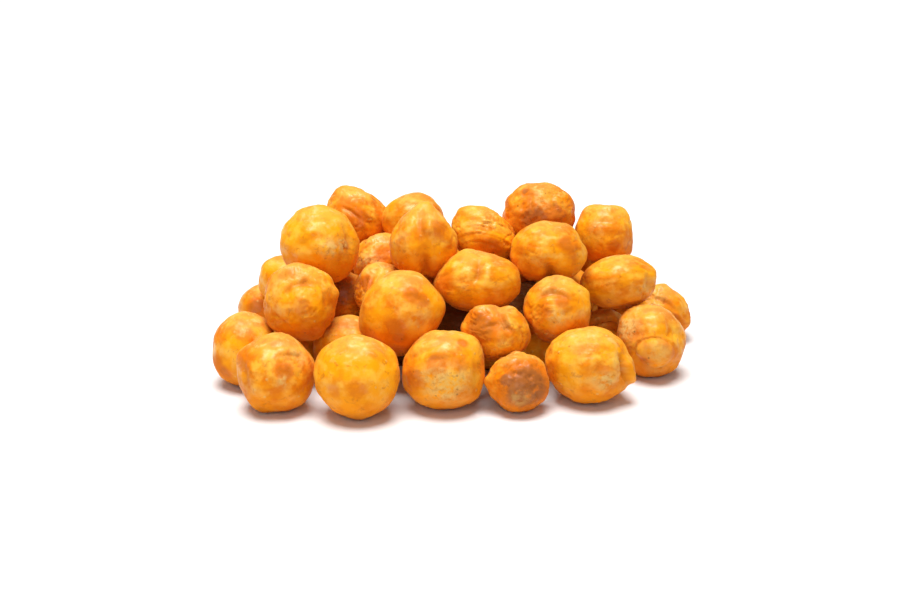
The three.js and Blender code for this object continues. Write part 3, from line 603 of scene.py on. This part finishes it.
def roasted_skin_group():
    """The colour, gloss and grain that all the skins share: amber mottling, blotches, rubbed and
    scorched places, freckles and specks. The top is painted paler and yellower as painted light, and
    the underside, the creases and the wrinkle lines deeper as painted shade. Sizes are per mm."""
    tree = bpy.data.node_groups.new("roasted_skin", "ShaderNodeTree")
    for name in ("Gold", "Deep", "Yellow", "Cream", "Scorch"):
        tree.interface.new_socket(name, in_out="INPUT", socket_type="NodeSocketColor")
    tree.interface.new_socket("Grain", in_out="INPUT", socket_type="NodeSocketVector")
    for name in ("Tint", "Rubbed", "Scorched", "Wrinkle", "Crease_Shade", "Crown", "Freckles"):
        tree.interface.new_socket(name, in_out="INPUT", socket_type="NodeSocketFloat")
    tree.interface.new_socket("Color", in_out="OUTPUT", socket_type="NodeSocketColor")
    tree.interface.new_socket("Roughness", in_out="OUTPUT", socket_type="NodeSocketFloat")
    tree.interface.new_socket("Oil", in_out="OUTPUT", socket_type="NodeSocketFloat")
    tree.interface.new_socket("Height", in_out="OUTPUT", socket_type="NodeSocketFloat")
    given = node(tree, "NodeGroupInput").outputs
    grain = given["Grain"]

    def mix(share, one, two):
        return node(tree, "ShaderNodeMix", {0: share, 6: one, 7: two}, data_type="RGBA").outputs[2]

    def times(*values):
        return calculate(tree, "MULTIPLY", *values)

    mottle = ramp(tree, noise(tree, grain, 0.34, 3.0, 0.55), 0.34, 0.66)
    lean = calculate(tree, "ADD", mottle, times(given["Tint"], 0.6))
    # Painted shade: the wrinkle lines are deeper in colour.
    lean = calculate(tree, "ADD", lean, times(given["Wrinkle"], 0.35))
    lean = calculate(tree, "MINIMUM", calculate(tree, "MAXIMUM", lean, 0.0), 1.0)
    color = mix(lean, given["Gold"], given["Deep"])

    bright = ramp(tree, noise(tree, grain, 0.55, 3.0, 0.55), 0.4, 0.74, 0.0, 0.75)
    # Painted light: the yellow patches grow stronger towards the top.
    bright = times(bright, ramp(tree, given["Crown"], -0.5, 0.4, 0.45, 1.0))
    color = mix(bright, color, given["Yellow"])
    # Painted shade: the underside is mixed towards the deep colour.
    color = mix(ramp(tree, given["Crown"], -0.75, 0.15, 0.55, 0.0), color, given["Deep"])

    blotch = ramp(tree, noise(tree, grain, 0.95, 4.0, 0.62, 0.5), 0.58, 0.7, 0.0, 0.55)
    color = mix(blotch, color, given["Scorch"])
    # Pale cream patches, weighted towards the top as painted light, and a painted pale top.
    pale_haze_and_top_light = ramp(tree, noise(tree, grain, 0.7, 4.0, 0.65, 0.6), 0.52, 0.7, 0.0, 0.42)
    pale_haze_and_top_light = times(pale_haze_and_top_light, ramp(tree, given["Crown"], 0.3, 0.95, 0.15, 1.7))
    cream_and_painted_top_light = calculate(tree, "ADD", pale_haze_and_top_light, ramp(tree, given["Crown"], 0.6, 1.0, 0.0, 0.25))
    color = mix(cream_and_painted_top_light, color, given["Cream"])

    patchy = ramp(tree, noise(tree, grain, 1.2, 3.0, 0.55), 0.3, 0.62)
    uneven = ramp(tree, noise(tree, grain, 0.8, 4.0, 0.6), 0.25, 0.52, 0.45, 1.0)
    scorched = times(given["Scorched"], uneven)
    color = mix(ramp(tree, scorched, 0.0, 0.5), color, given["Deep"])
    color = mix(ramp(tree, scorched, 0.3, 1.0), color, given["Scorch"])
    rubbed = times(given["Rubbed"], patchy)
    color = mix(times(rubbed, 0.9), color, given["Cream"])
    streak = times(given["Rubbed"], ramp(tree, noise(tree, grain, 1.1, 4.0, 0.65, 0.8), 0.52, 0.64))
    color = mix(times(streak, 0.45), color, given["Scorch"])

    cells = node(tree, "ShaderNodeTexVoronoi", {"Vector": grain, "Scale": 1.15}).outputs
    chosen = result(tree, "ShaderNodeSeparateColor", {0: cells["Color"]})
    extra = calculate(tree, "ADD", times(given["Rubbed"], 0.25), times(given["Scorched"], 0.2))
    some = calculate(tree, "ADD", calculate(tree, "ADD", chosen, extra), given["Freckles"])
    some = ramp(tree, some, 1.0, 1.06)
    speck = times(ramp(tree, cells["Distance"], 0.08, 0.22, 1.0, 0.0), some)
    color = mix(times(speck, 0.5), color, (0.22, 0.09, 0.02, 1.0))

    pale_cells = node(tree, "ShaderNodeTexVoronoi", {"Vector": grain, "Scale": 0.9}).outputs
    pale_chosen = node(tree, "ShaderNodeSeparateColor", {0: pale_cells["Color"]}).outputs[1]
    pimple = times(
        ramp(tree, pale_cells["Distance"], 0.06, 0.24, 1.0, 0.0), ramp(tree, pale_chosen, 0.85, 0.9))
    color = mix(times(pimple, 0.5), color, given["Cream"])

    # Painted shade: the creases are darkened with the scorch colour.
    color = mix(times(given["Crease_Shade"], 0.7), color, given["Scorch"])
    node_out = {"Color": color}

    dry = ramp(tree, noise(tree, grain, 0.3, 2.0), 0.35, 0.65, 0.42, 0.6)
    node_out["Roughness"] = calculate(tree, "ADD", dry, times(given["Rubbed"], 0.15))
    oil = ramp(tree, noise(tree, grain, 0.55, 3.0, 0.6), 0.42, 0.66, 0.04, 0.75)
    oil = times(oil, ramp(tree, given["Crown"], -0.6, 0.3, 0.2, 1.0))
    node_out["Oil"] = times(oil, calculate(tree, "SUBTRACT", 1.0, times(given["Rubbed"], 0.7)))

    fine = calculate(tree, "SUBTRACT", noise(tree, grain, 3.2, 4.0, 0.6), 0.5)
    pores = calculate(tree, "SUBTRACT", noise(tree, grain, 8.0, 2.0, 0.5), 0.5)
    height = calculate(tree, "ADD", times(fine, 0.045), times(pores, 0.012))
    height = calculate(tree, "ADD", height, times(pimple, 0.06))
    height = calculate(tree, "ADD", height, times(rubbed, 0.05))
    node_out["Height"] = calculate(tree, "SUBTRACT", height, times(speck, 0.05))
    node(tree, "NodeGroupOutput", node_out)
    return tree


roasted_skin = roasted_skin_group()
AMBER = {
    "Gold": (0.91, 0.335, 0.002, 1.0),
    "Deep": (0.70, 0.17, 0.002, 1.0),
    "Yellow": (0.94, 0.52, 0.04, 1.0),
    "Cream": (0.76, 0.48, 0.14, 1.0),
    "Scorch": (0.50, 0.135, 0.008, 1.0),
}


def skin_finish(name, colours, freckles):
    """A seed coat with a thin film of oil. A little light goes into the flesh below and comes out
    warmer."""
    material = bpy.data.materials.new(name)
    material.use_nodes = True
    tree = material.node_tree
    tree.nodes.clear()
    inputs = {**colours, "Freckles": freckles}
    for socket in ("Grain", "Tint", "Rubbed", "Scorched", "Wrinkle", "Crease_Shade", "Crown"):
        read = node(tree, "ShaderNodeAttribute", attribute_name=socket.lower())
        inputs[socket] = read.outputs["Vector" if socket == "Grain" else "Fac"]
    skin = node(tree, "ShaderNodeGroup", inputs, node_tree=roasted_skin)
    relief = {"Strength": 1.0, "Distance": MM, "Height": skin.outputs["Height"]}
    shader = node(tree, "ShaderNodeBsdfPrincipled", {
        "Base Color": skin.outputs["Color"], "Roughness": skin.outputs["Roughness"],
        "Normal": result(tree, "ShaderNodeBump", relief),
        "Coat Weight": skin.outputs["Oil"], "Coat Roughness": 0.36, "Specular IOR Level": 0.06,
        "Subsurface Weight": 0.05, "Subsurface Scale": 0.0006,
        "Sheen Weight": 0.05, "Sheen Roughness": 0.5,
    })
    shader.inputs["Subsurface Radius"].default_value = (1.0, 0.4, 0.1)
    shader.inputs["Sheen Tint"].default_value = (1.0, 0.85, 0.5, 1.0)
    node(tree, "ShaderNodeOutputMaterial", {"Surface": shader.outputs[0]})
    return material


smooth_finish = skin_finish("smooth_skin", AMBER, 0.0)
# For each chickpea: folds, marks (right, up, size, strength) and how much deeper its colour is. A fold
# is a line over its front, with depth, width and lip. Three points bend the line, and two make it a
# ring: the middle and the half size of an oval that stands out.
SMOOTH_DETAILS = {
    "round_front": (
        [([(0.35, 0.75), (0.75, 0.62), (0.86, 0.25)], 0.12, 0.3, 0.06),
         ([(0.2, 0.6), (0.55, 0.55), (0.7, 0.2)], 0.08, 0.35, 0.06),
         ([(-0.5, 0.55), (-0.1, 0.75), (0.25, 0.5)], 0.07, 0.4, 0.05)],
        [("scorched", 0.05, -0.28, 0.3, 0.35), ("scorched", -0.5, -0.3, 0.2, 0.3)], -0.7),
    "left_end": (
        [([(-0.5, 0.7), (0.0, 0.85), (0.5, 0.6)], 0.06, 0.4, 0.04)],
        [("scorched", -0.6, -0.6, 0.22, 0.7), ("scorched", -0.75, -0.3, 0.15, 0.4)], 0.1),
    "tucked_in": ([([(-0.2, 0.7), (0.2, 0.8), (0.6, 0.5)], 0.08, 0.3, 0.06)], [], 0.0),
    "blotched": (
        [([(0.0, 0.4), (0.45, 0.45), (0.7, 0.1)], 0.08, 0.3, 0.05)],
        [("scorched", 0.3, 0.42, 0.22, 0.6), ("scorched", 0.55, 0.3, 0.2, 0.6),
         ("scorched", -0.15, -0.38, 0.3, 0.6), ("scorched", -0.02, -0.6, 0.2, 0.7),
         ("rubbed", 0.5, -0.1, 0.3, 0.4)], -0.3),
    "left_low": ([], [("scorched", -0.2, 0.1, 0.35, 0.8)], 0.3),
    "back_oval": ([], [], -0.2),
}
smooth_chickpeas = chickpea_piece(
    "smooth_chickpeas", "smooth", SIDES_IN_SIGHT, SMOOTH_DETAILS, {
        "Wave Height": 0.32, "Wave Size": 2.7, "Wrinkle Depth": 0.05, "Wrinkle Size": 1.6,
        "Wrinkled Share": 0.25,
    }, smooth_finish)
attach(smooth_chickpeas, "root")
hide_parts("chickpea_heap")

# ------------------------------------------------------------------------------------------------
# The lobed chickpeas. Their two halves stand apart under the skin, with a cleft between them, a beak
# at one end and square shoulders. The skin is tight, with short wrinkles near the beak.
# ------------------------------------------------------------------------------------------------
lobed_finish = skin_finish("lobed_skin", AMBER, 0.02)
LOBED_DETAILS = {
    "peaked": (
        [([(0.05, 0.8), (0.08, 0.35), (-0.05, -0.1)], 0.3, 0.5, 0.12),
         ([(0.35, 0.75), (0.45, 0.5), (0.8, 0.45)], 0.1, 0.3, 0.06),
         ([(-0.9, 0.1), (-0.6, 0.3), (-0.4, 0.6)], 0.1, 0.3, 0.05)],
        [("scorched", -0.8, 0.0, 0.3, 0.4)], 0.1),
    "right_oval": (
        [([(0.6, 0.3), (0.8, 0.1), (0.75, -0.3)], 0.14, 0.28, 0.08),
         ([(0.45, 0.55), (0.7, 0.45), (0.85, 0.2)], 0.1, 0.25, 0.06),
         ([(0.35, -0.2), (0.6, -0.3), (0.7, -0.6)], 0.1, 0.25, 0.06)],
        [("rubbed", 0.65, -0.3, 0.3, 0.6)], -0.3),
    "cone": (
        [([(0.02, 0.85), (-0.1, 0.5), (0.08, 0.05)], 0.22, 0.5, 0.16),
         ([(0.1, -0.9), (0.12, -0.6), (0.05, -0.3)], 0.2, 0.4, 0.05)],
        [("scorched", -0.12, 0.3, 0.3, 0.3), ("scorched", 0.45, 0.35, 0.3, 0.4),
         ("rubbed", -0.65, 0.1, 0.3, 0.4), ("rubbed", 0.25, 0.6, 0.2, 0.35)], 0.0),
    "two_lobed": (
        [([(0.1, -0.95), (0.0, -0.6), (-0.15, -0.35)], 0.25, 0.45, 0.08)],
        [("scorched", 0.45, 0.2, 0.25, 0.6), ("scorched", 0.5, 0.35, 0.2, 0.4)], -0.2),
    "square_back": (
        [([(-0.5, 0.35), (0.0, 0.45), (0.5, 0.3)], 0.15, 0.4, 0.08),
         ([(-0.3, 0.7), (0.1, 0.6), (0.5, 0.75)], 0.1, 0.3, 0.05)],
        [("scorched", 0.3, -0.45, 0.25, 0.6), ("rubbed", -0.4, 0.2, 0.25, 0.35)], -0.1),
}
lobed_chickpeas = chickpea_piece(
    "lobed_chickpeas", "lobed", SIDES_IN_SIGHT, LOBED_DETAILS, {
        "Wave Height": 0.35, "Wave Size": 2.4, "Wrinkle Depth": 0.07, "Wrinkle Size": 1.4,
        "Wrinkled Share": 0.35,
    }, lobed_finish)
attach(lobed_chickpeas, "root")
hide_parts("chickpea_heap")

# ------------------------------------------------------------------------------------------------
# The worn chickpeas. Their skin rubbed thin against the others or came loose, so that the cream
# flesh shows in rough, specked patches. One has a loose flap of skin, and one a round knob.
# ------------------------------------------------------------------------------------------------
worn_finish = skin_finish("worn_skin", AMBER, 0.04)
WORN_DETAILS = {
    "shouldered": (
        [([(-0.85, 0.3), (-0.62, 0.0), (-0.7, -0.4)], 0.14, 0.4, 0.1),
         ([(0.1, 0.45), (0.45, 0.55), (0.8, 0.4)], 0.12, 0.28, 0.06),
         ([(-0.1, 0.7), (0.3, 0.75), (0.6, 0.62)], 0.08, 0.25, 0.05)],
        [("scorched", 0.3, 0.07, 0.25, 0.7), ("rubbed", 0.6, 0.45, 0.3, 0.6),
         ("rubbed", 0.27, -0.18, 0.14, 0.9), ("scorched", -0.75, 0.3, 0.3, 0.4)], 0.1),
    "rubbed_front": (
        [([(-0.75, 0.3), (-0.4, 0.55), (0.1, 0.72)], 0.12, 0.3, 0.08),
         ([(-0.5, 0.1), (-0.2, 0.35), (0.2, 0.3)], 0.1, 0.35, 0.06),
         ([(0.75, 0.5), (0.82, 0.0), (0.7, -0.5)], 0.1, 0.4, 0.05)],
        [("rubbed", 0.05, -0.37, 0.5, 0.85), ("rubbed", 0.4, -0.25, 0.3, 0.7),
         ("rubbed", -0.35, -0.15, 0.25, 0.7), ("scorched", -0.15, 0.15, 0.3, 0.5),
         ("scorched", -0.7, -0.2, 0.3, 0.5), ("scorched", 0.45, 0.65, 0.15, 0.5)], 0.1),
    "loose_skinned": (
        [([(0.72, 0.3), (0.84, -0.05), (0.86, -0.52)], 0.45, 0.24, 0.4),
         ([(-0.6, 0.35), (-0.1, 0.55), (0.5, 0.45)], 0.08, 0.5, 0.06)],
        [("rubbed", 0.35, -0.4, 0.26, 1.0), ("rubbed", 0.15, -0.35, 0.18, 0.6),
         ("rubbed", 0.6, 0.18, 0.15, 0.4), ("scorched", 0.3, -0.1, 0.18, 0.4),
         ("rubbed", -0.3, 0.55, 0.3, 0.3)], -0.3),
    "knobbed": (
        [([(0.05, -0.27), (0.58, 0.34)], 0.17, 0.18, 0.26),
         ([(-0.4, -0.55), (-0.1, -0.95), (0.5, -0.6)], 0.14, 0.32, 0.05),
         ([(-0.5, 0.35), (0.1, 0.55), (0.7, 0.35)], 0.08, 0.4, 0.06)],
        [("rubbed", -0.72, 0.36, 0.35, 1.0), ("rubbed", 0.05, -0.22, 0.35, 0.5),
         ("scorched", -0.25, -0.55, 0.16, 0.8), ("rubbed", 0.1, -0.75, 0.3, 0.4)], 0.0),
    "specked_round": (
        [([(0.6, 0.5), (0.85, 0.2), (0.8, -0.25)], 0.14, 0.3, 0.05),
         ([(-0.6, -0.2), (-0.2, 0.1), (0.2, 0.35)], 0.07, 0.5, 0.05)],
        [("rubbed", 0.3, -0.15, 0.24, 1.0), ("rubbed", 0.65, -0.02, 0.2, 1.0),
         ("scorched", 0.72, -0.05, 0.12, 0.8)], -0.5),
}
worn_chickpeas = chickpea_piece(
    "worn_chickpeas", "worn", SIDES_IN_SIGHT, WORN_DETAILS, {
        "Wave Height": 0.38, "Wave Size": 2.3, "Wrinkle Depth": 0.07, "Wrinkle Size": 1.3,
        "Wrinkled Share": 0.4,
    }, worn_finish)
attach(worn_chickpeas, "root")
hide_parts("chickpea_heap")

# ------------------------------------------------------------------------------------------------
# The wrinkled chickpeas. They lost the most water in the oil, and their loose skin dried into folds
# and small sharp wrinkles over the shrunken halves.
# ------------------------------------------------------------------------------------------------
wrinkled_finish = skin_finish("wrinkled_skin", AMBER, 0.05)
WRINKLED_DETAILS = {
    "notched": (
        [([(0.1, 0.8), (0.2, 0.3), (0.45, 0.0)], 0.35, 0.3, 0.12),
         ([(-0.85, 0.0), (-0.6, 0.5), (-0.2, 0.75)], 0.14, 0.26, 0.08),
         ([(-0.5, 0.1), (-0.2, 0.3), (0.1, 0.35)], 0.12, 0.26, 0.06)],
        [("scorched", -0.5, 0.2, 0.5, 1.0), ("scorched", -0.75, -0.3, 0.4, 0.8),
         ("scorched", 0.05, 0.35, 0.25, 0.7), ("rubbed", 0.25, 0.3, 0.2, 0.5)], 0.4),
    "pointed": (
        [([(-0.4, 0.2), (0.05, 0.75), (0.55, 0.35)], 0.2, 0.35, 0.12),
         ([(-0.7, 0.5), (-0.3, 0.85), (0.2, 0.85)], 0.12, 0.3, 0.08),
         ([(0.5, 0.6), (0.75, 0.3), (0.7, -0.1)], 0.12, 0.28, 0.06)],
        [("rubbed", -0.6, 0.4, 0.3, 0.35), ("scorched", 0.1, -0.1, 0.3, 0.3)], -0.1),
    "folded": (
        [([(-0.7, 0.2), (-0.2, 0.85), (0.4, 0.2)], 0.3, 0.32, 0.16),
         ([(-0.4, 0.35), (-0.1, 0.5), (0.15, 0.3)], 0.14, 0.26, 0.08),
         ([(0.0, -0.1), (0.3, -0.2), (0.5, 0.1)], 0.1, 0.3, 0.06)],
        [("rubbed", 0.0, -0.25, 0.3, 0.8), ("scorched", 0.1, 0.25, 0.25, 0.5),
         ("rubbed", -0.15, -0.75, 0.2, 0.4)], 0.3),
    "streaky": (
        [([(-0.5, 0.6), (-0.7, 0.2), (-0.65, -0.3)], 0.2, 0.28, 0.1),
         ([(-0.2, 0.7), (-0.45, 0.3), (-0.4, -0.2)], 0.16, 0.28, 0.08)],
        [("scorched", -0.6, 0.3, 0.3, 0.7), ("rubbed", -0.3, 0.7, 0.25, 0.4)], 0.2),
    "crumpled": (
        [([(-0.6, 0.4), (-0.1, 0.6), (0.4, 0.5)], 0.25, 0.26, 0.14),
         ([(-0.2, 0.1), (0.1, 0.35), (0.5, 0.1)], 0.2, 0.26, 0.1)],
        [("scorched", 0.3, 0.3, 0.3, 0.4), ("rubbed", -0.2, 0.4, 0.3, 0.6)], -0.3),
    "right_end": (
        [([(-0.4, 0.6), (0.2, 0.5), (0.5, 0.0)], 0.2, 0.3, 0.12),
         ([(0.1, 0.2), (0.5, -0.1), (0.6, -0.5)], 0.2, 0.3, 0.1)],
        [("rubbed", -0.2, 0.5, 0.3, 0.5), ("scorched", 0.4, -0.2, 0.3, 0.5)], 0.2),
    "long_wrinkled": (
        [([(-0.75, 0.45), (-0.3, 0.6), (0.3, 0.55)], 0.04, 0.16, 0.06),
         ([(-0.8, -0.2), (-0.1, 0.3), (0.8, -0.25)], 0.05, 0.16, 0.07),
         ([(-0.6, 0.1), (-0.2, 0.5), (0.35, 0.2)], 0.04, 0.14, 0.06),
         ([(-0.7, -0.45), (-0.3, 0.0), (0.6, -0.5)], 0.05, 0.18, 0.06),
         ([(-0.1, 0.45), (0.3, 0.5), (0.7, 0.35)], 0.04, 0.14, 0.07)],
        [("scorched", 0.15, -0.4, 0.35, 0.7), ("rubbed", -0.4, 0.3, 0.3, 0.35)], -0.1),
    "creased_back": (
        [([(-0.5, 0.35), (-0.1, 0.3), (0.2, -0.1)], 0.18, 0.24, 0.1),
         ([(0.3, 0.2), (0.5, -0.1), (0.5, -0.5)], 0.1, 0.24, 0.06)],
        [("scorched", 0.1, 0.0, 0.4, 0.5)], 0.7),
}
wrinkled_chickpeas = chickpea_piece(
    "wrinkled_chickpeas", "wrinkled", SIDES_IN_SIGHT, WRINKLED_DETAILS, {
        "Wave Height": 0.42, "Wave Size": 2.3, "Wrinkle Depth": 0.15, "Wrinkle Size": 1.3,
        "Wrinkled Share": 0.42,
    }, wrinkled_finish)
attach(wrinkled_chickpeas, "root")
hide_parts("chickpea_heap")

# ------------------------------------------------------------------------------------------------
# The browned chickpeas. They lay against the hot pan the longest: the skin is red brown to pinkish
# grey in patches, freckled, and rough where it blistered.
# ------------------------------------------------------------------------------------------------
PAN_BROWN = (0.36, 0.105, 0.018, 1.0)
browned_finish = skin_finish("browned_skin", {**AMBER, "Scorch": PAN_BROWN}, 0.1)
BROWNED_DETAILS = {
    "scorched_beak": (
        [([(-0.35, 0.45), (0.0, 0.2), (0.3, 0.4)], 0.1, 0.28, 0.08)],
        [("scorched", 0.3, -0.15, 0.9, 1.0), ("scorched", -0.4, 0.1, 0.3, 0.9),
         ("scorched", 0.3, 0.4, 0.3, 0.8), ("rubbed", 0.0, -0.5, 0.3, 0.4)], 0.5),
    "topmost": (
        [([(-0.3, 0.7), (-0.2, 0.2), (-0.4, -0.2)], 0.1, 0.3, 0.07),
         ([(0.3, 0.7), (0.35, 0.3), (0.6, -0.1)], 0.1, 0.3, 0.07)],
        [("scorched", -0.15, -0.2, 0.5, 0.8), ("scorched", -0.4, 0.7, 0.14, 0.8),
         ("rubbed", 0.05, 0.3, 0.2, 0.7), ("scorched", 0.5, -0.1, 0.4, 0.6)], 0.7),
    "rough": (
        [([(-0.4, 0.6), (0.1, 0.85), (0.5, 0.6)], 0.1, 0.35, 0.28)],
        [("rubbed", -0.4, 0.0, 0.4, 0.9), ("scorched", 0.1, 0.3, 0.4, 0.5)], 0.3),
    "deep_in": ([], [("scorched", 0.0, 0.3, 0.6, 0.9)], 0.8),
    "low_middle": ([], [("scorched", 0.1, 0.2, 0.4, 0.6), ("rubbed", 0.2, 0.4, 0.2, 0.7)], 0.5),
}
browned_chickpeas = chickpea_piece(
    "browned_chickpeas", "browned", SIDES_IN_SIGHT, BROWNED_DETAILS, {
        "Wave Height": 0.44, "Wave Size": 1.8, "Wrinkle Depth": 0.12, "Wrinkle Size": 1.1,
        "Wrinkled Share": 0.5,
    }, browned_finish)
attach(browned_chickpeas, "root")
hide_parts("chickpea_heap")

# ------------------------------------------------------------------------------------------------
# The buried chickpeas. The ones behind and under the others, which hold the heap up. They are of the
# same fry: some smooth, some wrinkled.
# ------------------------------------------------------------------------------------------------
SIDES_BURIED = 24
buried_finish = skin_finish("buried_skin", AMBER, 0.04)
buried_chickpeas = chickpea_piece(
    "buried_chickpeas", "buried", SIDES_BURIED, {}, {
        "Wave Height": 0.45, "Wave Size": 2.1, "Wrinkle Depth": 0.14, "Wrinkle Size": 1.4,
        "Wrinkled Share": 0.5,
    }, buried_finish)
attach(buried_chickpeas, "root")
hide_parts("chickpea_heap")

# ------------------------------------------------------------------------------------------------
# The core. What lies in the dark under all the others: one low lumpy mass of the same skins, but
# painted near black as shade, which the chickpeas lie over and sink into. It shows only as the dark
# ground of the deepest gaps.
# ------------------------------------------------------------------------------------------------
CORE_CENTRE = (3, 7.5, 2.5)
CORE_HALF = (17, 8, 7)
CORE_SIDES = 60

# Painted shade: the skin colours are darkened to the shade deep between the chickpeas.
core_shade_finish = skin_finish("core_painted_shade", {
    "Gold": (0.2, 0.056, 0.006, 1.0),
    "Deep": (0.14, 0.034, 0.005, 1.0),
    "Yellow": (0.26, 0.085, 0.01, 1.0),
    "Cream": (0.22, 0.09, 0.03, 1.0),
    "Scorch": (0.1, 0.026, 0.004, 1.0),
}, 0.0)
heap.append({
    "name": "core", "kind": "core", "centre": np.array(CORE_CENTRE, float), "half": CORE_HALF,
    "radius": sum(CORE_HALF) / 3, "lean": 0, "on_floor": False, "bumps": [], "furrows": [], "lumps": [],
})
painted_shade_core = chickpea_piece(
    "painted_shade_core", "core", CORE_SIDES, {}, {
        "Wave Height": 1.2, "Wave Size": 6.5, "Wrinkle Depth": 0.3, "Wrinkle Size": 3.0,
        "Wrinkled Share": 0.5,
    }, core_shade_finish)
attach(painted_shade_core, "root")
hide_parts("chickpea_heap")

# ------------------------------------------------------------------------------------------------
# The table and the light. A plain white top in a white tent: a little even light from all round, a
# wide soft lamp above that gives the skins their broad glints, and a weaker one in front.
# ------------------------------------------------------------------------------------------------
TABLE_HALF = 1.5
TABLE_BELOW = 0.00002
TABLE_WHITE = 0.86
table_mesh = bpy.data.meshes.new("table_top")
table_corners = [(-1, -1), (1, -1), (1, 1), (-1, 1)]
table_mesh.from_pydata(
    [(x * TABLE_HALF, y * TABLE_HALF, -TABLE_BELOW) for x, y in table_corners], [], [(0, 1, 2, 3)])
table_top = bpy.data.objects.new("table_top", table_mesh)
bpy.context.scene.collection.objects.link(table_top)
table_finish = bpy.data.materials.new("white_top")
table_finish.use_nodes = True
white = table_finish.node_tree.nodes["Principled BSDF"]
white.inputs["Base Color"].default_value = (TABLE_WHITE, TABLE_WHITE, TABLE_WHITE, 1.0)
white.inputs["Roughness"].default_value = 0.7
white.inputs["Specular IOR Level"].default_value = 0.2
table_mesh.materials.append(table_finish)

tent = bpy.data.worlds.new("white_tent")
bpy.context.scene.world = tent
tent.use_nodes = True
cloth = tent.node_tree.nodes["Background"]
cloth.inputs["Color"].default_value = (1.0, 1.0, 1.0, 1.0)
cloth.inputs["Strength"].default_value = 0.15


def soft_lamp(name, place, size, power, aim=(0, 0, 0.01)):
    lamp = bpy.data.lights.new(name, "AREA")
    lamp.shape = "DISK"
    lamp.size = size
    lamp.energy = power
    holder = bpy.data.objects.new(name, lamp)
    holder.location = place
    away_from_aim = Vector(place) - Vector(aim)
    holder.rotation_euler = away_from_aim.to_track_quat("Z", "Y").to_euler()
    bpy.context.scene.collection.objects.link(holder)


soft_lamp("lamp_above", (-0.04, -0.02, 0.7), 0.52, 7.8)
soft_lamp("lamp_in_front", (-0.1, -0.7, 0.4), 0.6, 1.3)

# The eye looks down 20 degrees at the middle of the heap, with an 80 mm lens on a 36 mm frame.
lens = bpy.data.cameras.new("eye")
lens.lens = 80
lens.sensor_width = 36
camera = bpy.data.objects.new("eye", lens)
camera.location = [value * MM for value in eye]
camera.rotation_euler = (math.radians(90 - LOOK_DOWN_DEG), 0, 0)
bpy.context.scene.collection.objects.link(camera)
bpy.context.scene.camera = camera
bpy.context.scene.view_settings.view_transform = "Standard"
